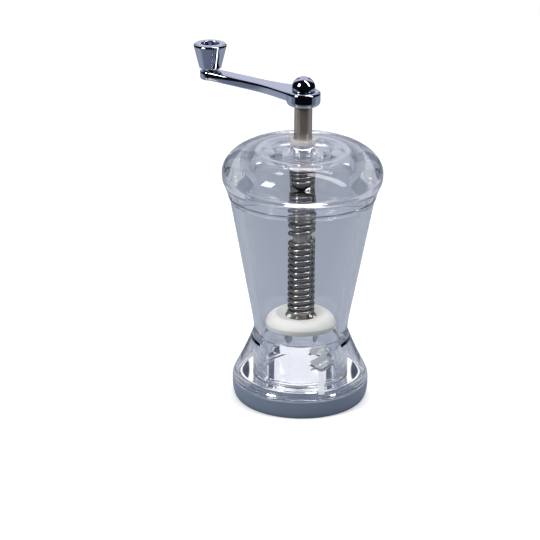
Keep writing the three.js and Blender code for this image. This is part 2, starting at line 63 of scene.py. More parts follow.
joints = {joint["name"]: joint for joint in frame["joints"]}
axis_x = joints["crank_turn"]["pos_m"][0] / MM
knob_x = joints["knob_spin"]["pos_m"][0] / MM
print("shaft axis at", round(axis_x, 2), "mm, knob axis at", round(knob_x, 2), "mm")

# %% [markdown]
# ## The camera
# The mill was seen from about 0.84 m away and 0.38 m up, through a long lens. The crank pointed to
# the left and 38 degrees away from the lens, so the camera stands that far round from the front.
# The mill stands a little right of the picture's middle, which is a small sideways shift.

# %% Place the camera
IMAGE_SIZE = 540
CAMERA_ROUND = math.radians(38)
CAMERA_AWAY = 0.840
CAMERA_UP = 0.383
CAMERA_DOWN = math.radians(21.0)
CAMERA_ROLL = math.radians(0.7)
FOCAL_PIXELS = 1980
MILL_PIXEL_X = 301.4

to_the_right = Vector((math.cos(CAMERA_ROUND), math.sin(CAMERA_ROUND), 0))
away = Vector((-math.sin(CAMERA_ROUND), math.cos(CAMERA_ROUND), 0))
axis_foot = Vector((axis_x * MM, 0, 0))


def seen_from_camera(right, back, up):
    """A place given as the camera sees it: metres to the right of the shaft, behind it and up."""
    return axis_foot + to_the_right * right + away * back + Vector((0, 0, up))


camera_data = bpy.data.cameras.new("camera")
camera_data.sensor_width = 36
camera_data.lens = FOCAL_PIXELS / IMAGE_SIZE * camera_data.sensor_width
camera_data.shift_x = (IMAGE_SIZE / 2 - MILL_PIXEL_X) / IMAGE_SIZE
camera_data.clip_start = 0.05
camera = bpy.data.objects.new("camera", camera_data)
bpy.context.collection.objects.link(camera)
sight = away * math.cos(CAMERA_DOWN) - Vector((0, 0, math.sin(CAMERA_DOWN)))
upright = sight.to_track_quat("-Z", "Y").to_matrix().to_4x4()
stand = Matrix.Translation(seen_from_camera(0, -CAMERA_AWAY, CAMERA_UP))
camera.matrix_world = stand @ upright @ Matrix.Rotation(CAMERA_ROLL, 4, "Z")
bpy.context.scene.camera = camera
bpy.context.scene.view_settings.view_transform = "Standard"
print("camera with a lens of", round(camera_data.lens, 1), "mm")

# %% [markdown]
# ## Materials
# One helper adds a shader node with its settings and links, and one turns the hex value that a
# colour picker shows into the linear numbers that Blender's sockets take. Grain and relief are noise
# sized in millimetres, in the piece's own coordinates, so they stay where they are as it moves.

# %% Helpers for materials


def linear(colour):
    """An sRGB hex value such as "#D2D7DF" as linear red, green, blue and alpha."""
    parts = [int(colour[i:i + 2], 16) / 255 for i in (1, 3, 5)]
    return [c / 12.92 if c <= 0.04045 else ((c + 0.055) / 1.055) ** 2.4 for c in parts] + [1]


def add_node(tree, kind, settings=None, **inputs):
    """Adds a node. settings are its own properties; inputs are values or sockets, by socket name."""
    node = tree.nodes.new("ShaderNode" + kind)
    for name, value in (settings or {}).items():
        setattr(node, name, value)
    for name, value in inputs.items():
        key = int(name[1:]) if name[0] == "_" else name.replace("_", " ")
        if isinstance(value, bpy.types.NodeSocket):
            tree.links.new(value, node.inputs[key])
        else:
            node.inputs[key].default_value = value
    return node


def new_material(name):
    """A material with its nodes cleared, its node tree and its output node."""
    material = bpy.data.materials.new(name)
    material.use_nodes = True
    material.node_tree.nodes.clear()
    return material, material.node_tree, material.node_tree.nodes.new("ShaderNodeOutputMaterial")


def grain(tree, size_mm, detail=2.0, stretch=(1, 1, 1)):
    """A 0 to 1 pattern of patches about size_mm across, in the piece's own coordinates."""
    own = add_node(tree, "TexCoord").outputs["Object"]
    stretched = add_node(tree, "Mapping", Vector=own, Scale=stretch).outputs["Vector"]
    noise = add_node(tree, "TexNoise", Vector=stretched, Scale=1 / (size_mm * MM), Detail=detail)
    return noise.outputs["Fac"]


def relief(tree, size_mm, height_mm, detail=2.0, stretch=(1, 1, 1)):
    """The normal of a skin whose waves are about size_mm across and height_mm high."""
    waves = grain(tree, size_mm, detail, stretch)
    bump = add_node(tree, "Bump", Height=waves, Strength=1.0, Distance=height_mm * MM)
    return bump.outputs["Normal"]


# %% [markdown]
# ## Clear cast acrylic
# The tumbler, lid, foot and bush are acrylic, poured thick and then turned and flame polished. It
# has an index of 1.49, and it looks slightly blue and grey where light crosses two walls, so each
# wall gets a faint tint. Casting and polishing leave broad, very low waves that make reflections
# wander, so the relief is some millimetres wide, and wiping leaves patches that are a little less
# glossy. The bush is worn cloudy by the shaft. Lamps shine through the piece rather than being
# blocked, which is what the mix on shadow rays does: what is inside stays lit.

# %% Acrylic
ACRYLIC_IOR = 1.49
WIPE_SIZE = 9.0
SHADOW_TINT = "#EEF0F4"


def acrylic(name, tint, wave_mm, wave_height, haze=0.015, cloudy=0.0):
    material, tree, output = new_material(name)
    wiped = add_node(tree, "MapRange", Value=grain(tree, WIPE_SIZE, detail=4.0), To_Min=0.0,
                     To_Max=haze)
    body = add_node(tree, "BsdfPrincipled", Base_Color=linear(tint), IOR=ACRYLIC_IOR,
                    Transmission_Weight=1.0 - cloudy, Roughness=wiped.outputs["Result"],
                    Normal=relief(tree, wave_mm, wave_height, detail=1.0))
    passed = add_node(tree, "BsdfTransparent", Color=linear(SHADOW_TINT))
    path = add_node(tree, "LightPath")
    mix = add_node(tree, "MixShader", _0=path.outputs["Is Shadow Ray"], _1=body.outputs["BSDF"],
                   _2=passed.outputs["BSDF"])
    tree.links.new(mix.outputs["Shader"], output.inputs["Surface"])
    return material


tumbler_acrylic = acrylic("acrylic_tumbler", "#F8F9FA", 14.0, 0.012)
lid_acrylic = acrylic("acrylic_lid", "#F8F8FA", 11.0, 0.025)
foot_acrylic = acrylic("acrylic_foot", "#FCFCFD", 8.0, 0.012)
bush_acrylic = acrylic("acrylic_bush", "#F6F2F4", 6.0, 0.01, haze=0.3, cloudy=0.25)

# %% [markdown]
# ## Metals
# The crank, knob and cap nut are zinc castings, polished and chrome plated: a mirror, a little blue,
# with a soft haze from handling. The disc is rolled stainless steel, polished to a mirror. The shaft
# is ground stainless bar, warm grey, with fine rings left by the wheel, and the spring is drawn
# wire. Both look dark towards their edges, where they turn away, so their rim is given a dark tint,
# which is painted shade at the edges and not a colour of the steel.
# Washers and claws are stamped and tumbled to an even grain, and the blade and its rivets are paler
# and duller than the disc. Such grain is drawn coarser than it is, so that it shows at all.

# %% Metals
HANDLED_SIZE = 5.0


def metal(name, colour, rough_low, rough_high, grain_mm, grain_height, stretch=(1, 1, 1),
          metallic=1.0, rim="#FFFFFF"):
    material, tree, output = new_material(name)
    handled = add_node(tree, "MapRange", Value=grain(tree, HANDLED_SIZE, detail=3.0),
                       To_Min=rough_low, To_Max=rough_high)
    body = add_node(tree, "BsdfPrincipled", Base_Color=linear(colour), Metallic=metallic,
                    Specular_Tint=linear(rim), Roughness=handled.outputs["Result"],
                    Normal=relief(tree, grain_mm, grain_height, stretch=stretch))
    tree.links.new(body.outputs["BSDF"], output.inputs["Surface"])
    return material


chrome = metal("chrome_plate", "#C8CCDA", 0.02, 0.08, 6.0, 0.008)
mirror_steel = metal("polished_stainless", "#E4E5E8", 0.02, 0.07, 3.0, 0.004)
stamped_steel = metal("stamped_steel", "#C4C5C6", 0.18, 0.32, 0.8, 0.01)
# The dark rim tints of the shaft and the spring wire are painted shade at the edges that turn away.
shaft_steel = metal("ground_stainless", "#BDB3A8", 0.12, 0.18, 1.2, 0.006, stretch=(0.2, 0.2, 3),
                    metallic=0.78, rim="#3A3632")
wire_steel = metal("spring_wire", "#A8A39D", 0.05, 0.11, 1.0, 0.003, rim="#4A4744")
blade_steel = metal("blade_steel", "#E2E0DB", 0.22, 0.36, 0.8, 0.01, metallic=0.55)

# %% [markdown]
# ## Nylon and the base ring
# The pusher is moulded nylon, an ivory white with a half matt skin through which a little light
# spreads. The base ring is a solid ring of grey-blue acrylic with a satin skin, so it shows a soft
# sheen and no picture of what is behind it. Both have a fine texture, drawn coarser than it is.

# %% Plastics
CLOUD_SIZE = 12.0
SKIN_SIZE = 0.6
SKIN_HEIGHT = 0.01


def plastic(name, colour, shade, rough_low, rough_high, spread=0.0, spread_mm=0.0, coat=0.0):
    material, tree, output = new_material(name)
    cloud = grain(tree, CLOUD_SIZE, detail=3.0)
    colours = add_node(tree, "Mix", {"data_type": "RGBA"}, _0=cloud, _6=linear(colour),
                       _7=linear(shade))
    gloss = add_node(tree, "MapRange", Value=cloud, To_Min=rough_low, To_Max=rough_high)
    body = add_node(tree, "BsdfPrincipled", Base_Color=colours.outputs[2],
                    Roughness=gloss.outputs["Result"], Subsurface_Weight=spread,
                    Subsurface_Scale=spread_mm * MM, Coat_Weight=coat, Coat_Roughness=0.12,
                    Normal=relief(tree, SKIN_SIZE, SKIN_HEIGHT))
    tree.links.new(body.outputs["BSDF"], output.inputs["Surface"])
    return material


nylon = plastic("moulded_nylon", "#D3D1C8", "#C8C5BA", 0.38, 0.5, spread=0.25, spread_mm=1.2)
ring_acrylic = plastic("satin_ring", "#7C8899", "#717D8F", 0.24, 0.34, coat=0.7)

# %% [markdown]
# ## Turned pieces
# An outline of radius and height, in millimetres, is spun once round the shaft. A corner's third
# number is its rounding, which a vertex bevel gives it before the spin, because no turned or moulded
# edge is quite sharp, and that small round is what catches the light. Each long straight gets a
# point close to either end: the round's slanting normals then stop there, and don't make a prism of
# the clear wall. Sweeping stretches are cubic curves, whose two inner guide points say how the
# curve leaves its ends.

# %% Helpers for turned shapes
ROUND_STEPS = 128
CORNER_STEPS = 4
HELD_GAP = 0.12
LONG_STRAIGHT = 1.0
MERGE_GAP = 0.0005


def curve(a, b, c, d, steps):
    """Points along a cubic curve through four guide points, without its first one."""
    points = []
    for i in range(1, steps + 1):
        t = i / steps
        weights = ((1 - t) ** 3, 3 * t * (1 - t) ** 2, 3 * t * t * (1 - t), t ** 3)
        points.append(tuple(sum(w * p[k] for w, p in zip(weights, (a, b, c, d))) for k in (0, 1)))
    return points


def held_straight(outline):
    """The outline with a point near both ends of each long straight."""
    closed = outline[0][0] > 0
    held = []
    for i, start in enumerate(outline):
        held.append(start)
        end = outline[(i + 1) % len(outline)]
        length = math.dist(start[:2], end[:2])
        gaps = [sum(point[2:]) + HELD_GAP for point in (start, end)]
        if length > LONG_STRAIGHT + sum(gaps) and (closed or i + 1 < len(outline)):
            for t in (gaps[0] / length, 1 - gaps[1] / length):
                held.append(tuple(a + (b - a) * t for a, b in zip(start[:2], end[:2])))
    return held


def turned_mesh(outline, centre_x=axis_x, steps=ROUND_STEPS):
    """Spins an outline, closed unless it starts on the axis, and returns the bmesh."""
    outline = held_straight(outline)
    bm = bmesh.new()
    verts = [bm.verts.new(((centre_x + point[0]) * MM, 0, point[1] * MM)) for point in outline]
    following = verts[1:] + verts[:1] if outline[0][0] > 0 else verts[1:]
    for pair in zip(verts, following):
        bm.edges.new(pair)
    for vert, point in zip(verts, outline):
        if len(point) == 3:
            bmesh.ops.bevel(bm, geom=[vert], offset=point[2] * MM, segments=CORNER_STEPS,
                            profile=0.5, affect="VERTICES", material=-1)
    bmesh.ops.spin(bm, geom=bm.verts[:] + bm.edges[:], cent=(centre_x * MM, 0, 0), axis=(0, 0, 1),
                   angle=math.tau, steps=steps, use_merge=True)
    bmesh.ops.remove_doubles(bm, verts=bm.verts[:], dist=MERGE_GAP * MM)
    bmesh.ops.recalc_face_normals(bm, faces=bm.faces[:])
    return bm


def to_object(name, bm, crisp=32):
    """Ends a bmesh as a shown object: smooth, but crisp where faces meet at more than an angle."""
    for face in bm.faces:
        face.smooth = True
    for edge in bm.edges:
        if len(edge.link_faces) == 2:
            edge.smooth = edge.calc_face_angle() < math.radians(crisp)
    mesh = bpy.data.meshes.new(name)
    bm.to_mesh(mesh)
    bm.free()
    piece = bpy.data.objects.new(name, mesh)
    bpy.context.collection.objects.link(piece)
    return piece


# %% [markdown]
# ## Ties to the model
# A new piece takes its outer sizes from the solid in the imported model that it stands for. It says
# which solid that is and which body it moves with.

# %% Helpers that tie a piece to the model


def reach(node):
    """Radius, lowest and highest level of a turned solid of the model, in millimetres."""
    low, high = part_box(node)
    return (high.y - low.y) / 2 / MM, low.z / MM, high.z / MM


def settle(piece, material, slot, body, *nodes):
    """Gives a piece its material, the body it rides on and what it stands for. slot is not used."""
    piece.data.materials.clear()
    piece.data.materials.append(material)
    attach(piece, body)
    if nodes:
        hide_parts(*nodes)
    print(piece.name, "rides on", body, "with", len(piece.data.polygons), "faces")


# %% [markdown]
# ## The tumbler
# A thick wall, straight above and curved in at the waist. Its bore narrows to the grating chamber,
# and a plain spigot below plugs into the foot. The flange at the mouth carries the lid, and the lip
# inside it guides the lid as it is put on.

# %% Tumbler
flange_radius, chamber_floor, mouth_top = reach("hopper_body")
foot_radius, foot_base, foot_top = reach("flared_foot")
lid_radius, lid_base, lid_top = reach("lid_dome")
FIT = 0.3
CHAMBER_RADIUS = 17.2
CHAMBER_TOP = 36.0
SPIGOT_RADIUS = 20.4
WAIST_RADIUS = 21.5
WAIST_BLEND = 18.1
WAIST_PULL = WAIST_BLEND * 0.25
WALL_PULL = WAIST_BLEND * 0.45
WALL_SLOPE = 0.1833
WALL_TOP_RADIUS = 32.4
MOUTH_WALL = 5.4
LIP_WALL = 3.7
FLANGE_HEIGHT = 2.7
BORE_BLEND = 7.0
BORE_PULL = BORE_BLEND * 0.3
waist_base = foot_top + FIT
wall_base = waist_base + WAIST_BLEND
flange_top = lid_base - FIT
shoulder = flange_top - FLANGE_HEIGHT
wall_base_radius = WALL_TOP_RADIUS - WALL_SLOPE * (shoulder - wall_base)
mouth_radius = WALL_TOP_RADIUS - MOUTH_WALL
lip_radius = mouth_radius + LIP_WALL
bore_slope = (mouth_radius - CHAMBER_RADIUS) / (shoulder - CHAMBER_TOP)
blend_start = (CHAMBER_RADIUS + bore_slope * BORE_BLEND, CHAMBER_TOP + BORE_BLEND)

outer_wall = curve((WAIST_RADIUS, waist_base), (WAIST_RADIUS, waist_base + WAIST_PULL),
                   (wall_base_radius - WALL_SLOPE * WALL_PULL, wall_base - WALL_PULL),
                   (wall_base_radius, wall_base), steps=14)
inner_wall = curve(blend_start, (CHAMBER_RADIUS + bore_slope * BORE_PULL, CHAMBER_TOP + BORE_PULL),
                   (CHAMBER_RADIUS, CHAMBER_TOP), (CHAMBER_RADIUS, CHAMBER_TOP - BORE_BLEND),
                   steps=10)
flange_curve = curve((WALL_TOP_RADIUS, shoulder), (WALL_TOP_RADIUS + 0.1, shoulder + 0.9),
                     (flange_radius - 0.3, flange_top - 1.4), (flange_radius, flange_top - 0.5),
                     steps=7)
tumbler = to_object("tumbler", turned_mesh(
    [(CHAMBER_RADIUS, chamber_floor, 0.3), (SPIGOT_RADIUS, chamber_floor, 0.3),
     (SPIGOT_RADIUS, waist_base, 0.2), (WAIST_RADIUS, waist_base, 0.25)]
    + outer_wall + [(WALL_TOP_RADIUS, shoulder)] + flange_curve
    + [(flange_radius, flange_top, 0.1), (lip_radius, flange_top, 0.3), (lip_radius, mouth_top, 0.8),
       (mouth_radius, mouth_top, 0.8), (mouth_radius, shoulder), blend_start] + inner_wall))
settle(tumbler, tumbler_acrylic, "clear_acrylic", "body", "hopper_body")

# %% [markdown]
# ## The flared foot
# A bell with a socket hanging inside it. The socket's lower edge is the double line that shows
# through the bell, and the hollow between the two is where the bell looks brightest.

# %% Foot
FOOT_WALL = 2.6
SOCKET_WALL = 1.3
FOOT_CROWN = 1.1
HOLLOW_TOP = 27.8
socket_bore = SPIGOT_RADIUS + FIT
socket_radius = socket_bore + SOCKET_WALL
foot_bore = foot_radius - FOOT_WALL
crown = socket_bore + FOOT_CROWN
flare = foot_top - foot_base
spread = foot_radius - crown
hollow = HOLLOW_TOP - chamber_floor
inner_spread = foot_bore - socket_radius

bell = curve((foot_radius, foot_base), (foot_radius, foot_base + flare * 0.19),
             (foot_radius - spread * 0.32, foot_base + flare * 0.25), (crown, foot_top), steps=28)
bell_inside = curve((socket_radius, HOLLOW_TOP),
                    (foot_bore - inner_spread * 0.73, HOLLOW_TOP - hollow * 0.33),
                    (foot_bore - inner_spread * 0.31, chamber_floor + hollow * 0.23),
                    (foot_bore, chamber_floor), steps=20)
foot = to_object("foot_bell", turned_mesh(
    [(foot_radius, foot_base, 0.25)] + bell[:-1]
    + [(crown, foot_top, 0.3), (socket_bore, foot_top, 0.2), (socket_bore, chamber_floor, 0.3),
       (socket_radius, chamber_floor, 0.5), (socket_radius, HOLLOW_TOP)]
    + bell_inside + [(foot_bore, foot_base, 0.25)]))
settle(foot, foot_acrylic, "clear_acrylic", "body", "flared_foot")

# %% [markdown]
# ## The index bar
# A frosted bar on the outside of the bell, right of the front, by which the foot is lined up. It's a
# thin skin that follows the bell's own outline, and its sides stay parallel where the bell widens.

# %% Index bar
BAR_RIGHT = 9.7
BAR_HALF = 1.3
BAR_LOW = 11.6
BAR_HIGH = 21.2
BAR_SKIN = 0.08
bar_mesh = bmesh.new()
bar_rows = []
for radius, level in bell:
    if BAR_LOW <= level <= BAR_HIGH:
        row = []
        for side in (-BAR_HALF, 0, BAR_HALF):
            angle = CAMERA_ROUND - math.pi / 2 + math.asin((BAR_RIGHT + side) / radius)
            row.append(bar_mesh.verts.new(((axis_x + (radius + BAR_SKIN) * math.cos(angle)) * MM,
                                           (radius + BAR_SKIN) * math.sin(angle) * MM, level * MM)))
        bar_rows.append(row)
for lower, upper in zip(bar_rows, bar_rows[1:]):
    for i in (0, 1):
        bar_mesh.faces.new((lower[i], lower[i + 1], upper[i + 1], upper[i]))
bar = to_object("index_bar", bar_mesh)
frosted, frosted_tree, frosted_output = new_material("frosted_mark")
frost = add_node(frosted_tree, "BsdfPrincipled", Base_Color=linear("#E6E8EC"), Roughness=0.55,
                 Alpha=0.85)
frosted_tree.links.new(frost.outputs["BSDF"], frosted_output.inputs["Surface"])
settle(bar, frosted, "clear_acrylic", "body")

# %% [markdown]
# ## The lid
# A very heavy dome over a straight band, undercut where it meets the tumbler. The hollow is straight
# and much narrower than the dome, so the wall is a thick ring that bends what stands behind it, and
# a boss hangs from the roof round the bush.

# %% Lid
_, boss_base, bush_top = reach("shaft_bush")
BUSH_RADIUS = 5.4
LID_ROOF = 8.0
CROWN_RADIUS = 14.0
BOSS_RADIUS = 11.8
BOSS_TAPER = 1.6
BAND = 3.6
UNDERCUT = 6.6
HOLLOW_RADIUS = 24.0
HOLLOW_ROUND = 7.0
HOLLOW_PULL = HOLLOW_ROUND * 0.4
LIP_HEADROOM = 0.6
lid_bore = lip_radius + FIT
bush_hole = BUSH_RADIUS + FIT
band_base = lid_base + UNDERCUT
band_top = band_base + BAND
ceiling = lid_top - LID_ROOF
dome_height = lid_top - band_top
lip_room = mouth_top + LIP_HEADROOM
roof_radius = HOLLOW_RADIUS - HOLLOW_ROUND

dome = curve((lid_radius, band_top), (lid_radius - 0.4, band_top + dome_height * 0.49),
             (CROWN_RADIUS + (lid_radius - CROWN_RADIUS) * 0.58, lid_top), (CROWN_RADIUS, lid_top),
             steps=30)
lid_inside = curve((roof_radius, ceiling), (HOLLOW_RADIUS - HOLLOW_PULL, ceiling),
                   (HOLLOW_RADIUS, ceiling - HOLLOW_PULL), (HOLLOW_RADIUS, ceiling - HOLLOW_ROUND),
                   steps=24)
lid = to_object("lid", turned_mesh(
    [(lid_bore, lid_base, 0.3), (flange_radius, lid_base, 0.12), (lid_radius - 0.15, band_base, 0.9),
     (lid_radius, band_base + BAND / 2), (lid_radius, band_top)]
    + dome + [(bush_hole, lid_top, 0.2), (bush_hole, boss_base, 0.2), (BOSS_RADIUS, boss_base, 0.6),
              (BOSS_RADIUS + BOSS_TAPER, ceiling), (roof_radius, ceiling)]
    + lid_inside + [(HOLLOW_RADIUS, lip_room, 0.8), (lid_bore, lip_room, 0.5)], steps=160))
settle(lid, lid_acrylic, "clear_acrylic", "lid", "lid_dome")

# %% [markdown]
# ## The bush
# A clear flanged sleeve in the lid's middle. Its flange is the pale ring that the shaft stands in.

# %% Bush
SHAFT_RADIUS = 4.0
BUSH_FLANGE = 6.85
bush_bore = SHAFT_RADIUS + FIT
seat = lid_top + FIT
bush = to_object("bush", turned_mesh(
    [(bush_bore, boss_base, 0.15), (BUSH_RADIUS, boss_base, 0.3), (BUSH_RADIUS, seat, 0.15),
     (BUSH_FLANGE, seat, 0.5), (BUSH_FLANGE, bush_top, 0.5), (bush_bore, bush_top, 0.3)]))
settle(bush, bush_acrylic, "clear_acrylic", "lid", "shaft_bush")

# %% [markdown]
# ## The base ring
# The bell and the blade disc both stand on the ring's flat top. The ring draws in a little at the
# table, and the round there catches a thin line of light.

# %% Base ring
ring_radius, ring_low, _ = reach("base_ring")
RING_BORE = 25.4
RING_TUCK = 1.7
ring_foot = ring_radius - RING_TUCK
rim_height = foot_base - FIT
rim = curve((ring_foot, ring_low), (ring_radius - RING_TUCK / 3, rim_height * 0.15),
            (ring_radius, rim_height * 0.4), (ring_radius, rim_height), steps=14)
ring = to_object("base_ring_satin", turned_mesh(
    [(RING_BORE, ring_low, 0.3), (ring_foot, ring_low, 0.3)] + rim[:-1]
    + [(ring_radius, rim_height, 0.3), (RING_BORE, rim_height, 0.3)]))
settle(ring, ring_acrylic, "smoke_acrylic_ring", "body", "base_ring")

# %% [markdown]
# ## The blade disc
# A shallow pressed pan, bottom up, polished to a mirror. It's spun, and then a boolean cuts the slot
# under the blade out of it, so that its flat top stays truly flat.

# %% Helper for the slot


def carved(body, low, high):
    """The bmesh with a block taken out of it, given by two corners in millimetres."""
    block = bmesh.new()
    bmesh.ops.create_cube(block, size=1)
    bmesh.ops.scale(block, vec=[(h - l) * MM for l, h in zip(low, high)], verts=block.verts[:])
    bmesh.ops.translate(block, vec=[(h + l) / 2 * MM for l, h in zip(low, high)],
                        verts=block.verts[:])
    piece = to_object("body_to_carve", body)
    cutter = to_object("cutter", block)
    carve = piece.modifiers.new("carve", "BOOLEAN")
    carve.operation = "DIFFERENCE"
    carve.solver = "EXACT"
    carve.object = cutter
    seen = piece.evaluated_get(bpy.context.evaluated_depsgraph_get())
    result = bmesh.new()
    result.from_mesh(bpy.data.meshes.new_from_object(seen))
    for done in (piece, cutter):
        bpy.data.objects.remove(done)
    return result


# %% Blade disc
disc_radius, disc_foot, disc_top = reach("blade_disc")
DISC_SHEET = 1.0
SLOT_EDGE = 4.8
SLOT_WIDTH = 3.4
SLOT_NEAR = 5.0
SLOT_FAR = 17.0
CUT_MARGIN = 3
disc_inside = disc_radius - DISC_SHEET
disc_shape = turned_mesh([(0, disc_top), (disc_radius, disc_top, 1.8), (disc_radius, disc_foot, 0.2),
                          (disc_inside, disc_foot, 0.2), (disc_inside, disc_top - DISC_SHEET),
                          (0, disc_top - DISC_SHEET)])
disc_shape = carved(disc_shape, (axis_x + SLOT_EDGE - SLOT_WIDTH, SLOT_NEAR, disc_top - CUT_MARGIN),
                    (axis_x + SLOT_EDGE, SLOT_FAR, disc_top + CUT_MARGIN))
disc = to_object("mirror_disc", disc_shape, crisp=20)
settle(disc, mirror_steel, "polished_steel", "body", "blade_disc")

# %% [markdown]
# ## The shaft and the washers
# The shaft is a plain ground bar with a square at each end. The squares stay hidden, so they are
# turned here as thinner round ends. Washers are flat rings whose punched edges are slightly round.

# %% Shaft and washers
shaft_low, shaft_high = (corner.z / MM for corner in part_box("drive_shaft"))
hub_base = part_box("crank_arm")[0].z / MM
pocket_washer_low = reach("thrust_washer")[1]
SQUARE_HALF = 2.7
SQUARE_HEIGHT = 6.5
THREAD_RADIUS = 2.3
bar_top = hub_base - FIT
square_top = hub_base + SQUARE_HEIGHT
shaft = to_object("shaft", turned_mesh(
    [(0, shaft_low), (SQUARE_HALF, shaft_low), (SQUARE_HALF, pocket_washer_low),
     (SHAFT_RADIUS, pocket_washer_low, 0.3), (SHAFT_RADIUS, bar_top, 0.3), (SQUARE_HALF, bar_top),
     (SQUARE_HALF, square_top), (THREAD_RADIUS, square_top), (THREAD_RADIUS, shaft_high, 0.2),
     (0, shaft_high)], steps=96))
settle(shaft, shaft_steel, "satin_steel", "crank", "drive_shaft")


def washer(name, node, body, centre_x, bore):
    radius, low, high = reach(node)
    flat_ring = to_object(name, turned_mesh(
        [(bore, low, 0.12), (radius, low, 0.2), (radius, high, 0.2), (bore, high, 0.12)],
        centre_x=centre_x, steps=64))
    settle(flat_ring, stamped_steel, "stamped_steel", body, node)


PIN_RADIUS = 2.0
pin_hole = PIN_RADIUS + FIT
washer("cap_washer", "spring_cap_washer", "lid", axis_x, bush_bore)
washer("pocket_washer", "thrust_washer", "plunger", axis_x, bush_bore)
washer("grip_washer", "knob_washer", "crank", knob_x, pin_hole)

# %% [markdown]
# ## The pressure spring
# Drawn wire wound round the shaft: a closed turn at each end and an even wind between, apart from
# one turn that was pulled open. A curve follows the wire's middle, a round bevel gives the wire its
# thickness, a little more than the model's, and the result is turned into a mesh. It shortens and
# lengthens as the plunger slides, but here it stays one fixed mesh.

# %% Spring
WIRE = 1.9
CLOSED_TURNS = 1
CLOSED_PITCH = 2.25
EVEN_TURNS = 21
OPENED_TURN = 13.0
OPENED_BY = 1.1
STEPS_PER_TURN = 32
spring_radius, spring_low, spring_high = reach("pressure_spring")
coil_radius = spring_radius - WIRE / 2
climb = spring_high - spring_low - WIRE
even_pitch = (climb - 2 * CLOSED_TURNS * CLOSED_PITCH) / (EVEN_TURNS + OPENED_BY)
all_turns = EVEN_TURNS + 2 * CLOSED_TURNS


def wire_height(turn):
    """How far the wire has climbed after so many turns, in millimetres."""
    if turn <= CLOSED_TURNS:
        return turn * CLOSED_PITCH
    if turn >= all_turns - CLOSED_TURNS:
        return climb - (all_turns - turn) * CLOSED_PITCH
    opened = min(max(turn - OPENED_TURN, 0), 1)
    ease = opened * opened * (3 - 2 * opened)
    even_climb = CLOSED_TURNS * CLOSED_PITCH + (turn - CLOSED_TURNS) * even_pitch
    return even_climb + OPENED_BY * even_pitch * ease


route = []
for i in range(all_turns * STEPS_PER_TURN + 1):
    turn = i / STEPS_PER_TURN
    angle = turn * math.tau
    route.append(((axis_x + coil_radius * math.cos(angle)) * MM, coil_radius * math.sin(angle) * MM,
                  (spring_low + WIRE / 2 + wire_height(turn)) * MM, 1))
print("spring", all_turns, "turns, pitch", round(even_pitch, 2), "mm")

# %% Give the wire its thickness
wire_curve = bpy.data.curves.new("wire", "CURVE")
wire_curve.dimensions = "3D"
wire_curve.bevel_depth = WIRE / 2 * MM
wire_curve.bevel_resolution = 4
wire_curve.use_fill_caps = True
spline = wire_curve.splines.new("POLY")
spline.points.add(len(route) - 1)
for point, place in zip(spline.points, route):
    point.co = place
wire_object = bpy.data.objects.new("wire", wire_curve)
bpy.context.collection.objects.link(wire_object)
wire_mesh = bpy.data.meshes.new_from_object(wire_object.evaluated_get(
    bpy.context.evaluated_depsgraph_get()))
bpy.data.objects.remove(wire_object)
wound = bmesh.new()
wound.from_mesh(wire_mesh)
bmesh.ops.remove_doubles(wound, verts=wound.verts[:], dist=MERGE_GAP * MM)
bmesh.ops.recalc_face_normals(wound, faces=wound.faces[:])
spring = to_object("spring", wound, crisp=50)
spring.data.materials.append(wire_steel)
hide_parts("pressure_spring")
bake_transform(spring)
print("spring blends from plunger to lid with", len(spring.data.polygons), "faces")

# %% [markdown]
# ## The pusher
# A thick nylon disc with a rounded shoulder over a short straight rim. Its top dishes a little
# towards the pocket in which the spring's lower washer sits. It's pressed on the shaft, as the crank
# is, so both have a bore that ends inside the shaft and leaves no gap.

# %% Pusher
pusher_radius, pusher_low, pusher_high = reach("pusher_disc")
PRESSED_BORE = SHAFT_RADIUS - 1
POCKET_RADIUS = 6.95
POCKET_DEPTH = 2.9
PUSHER_RIM = 2.4
PUSHER_CHAMFER = 0.4
PUSHER_FLAT = 11.0
PUSHER_DISH = 0.9
pocket_floor = pusher_high - POCKET_DEPTH
rim_top = pusher_low + PUSHER_RIM
pusher_skirt = curve((pusher_radius, rim_top), (pusher_radius - 0.5, rim_top + 1.6),
                     (PUSHER_FLAT + 3, pusher_high), (PUSHER_FLAT, pusher_high), steps=16)
pusher = to_object("pusher", turned_mesh(
    [(PRESSED_BORE, pusher_low, 0.2), (pusher_radius - 2 * PUSHER_CHAMFER, pusher_low, 0.2),
     (pusher_radius - PUSHER_CHAMFER, pusher_low + PUSHER_CHAMFER, 0.3), (pusher_radius, rim_top)]
    + pusher_skirt + [(POCKET_RADIUS, pusher_high - PUSHER_DISH, 0.4),
                      (POCKET_RADIUS, pocket_floor, 0.3), (PRESSED_BORE, pocket_floor)]))
settle(pusher, nylon, "ivory_nylon", "crank", "pusher_disc")

# %% [markdown]
# ## The crank
# A flat arm that widens into a round hub, cast in one piece. The arm is drawn as half of its plan,
# mirrored, extruded and bevelled, so that its long edges show the dark line that chrome has there.
# The hub is spun, with a well-rounded lower edge.

# %% Hub
hub_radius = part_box("crank_arm")[1].y / MM
HUB_HEIGHT = 6.6
HUB_LOW_ROUND = 2.0
HUB_TOP_ROUND = 1.3
hub_top = hub_base + HUB_HEIGHT
hub = turned_mesh([(PRESSED_BORE, hub_base, 0.2), (hub_radius, hub_base, HUB_LOW_ROUND),
                   (hub_radius, hub_top, HUB_TOP_ROUND), (PRESSED_BORE, hub_top)], steps=96)

# %% Arm
ARM_THICKNESS = 4.0
ARM_STEP = 0.1
ARM_BEVEL = 0.75
ARM_HALF = 3.9
ARM_FLARE = 26.0
FLARE_WIDTH = 0.94
END_RADIUS = 4.7
ARC_STEPS = 18
arm_base = hub_top - ARM_STEP - ARM_THICKNESS
arm_reach = axis_x - knob_x
hub_edge = hub_radius * FLARE_WIDTH

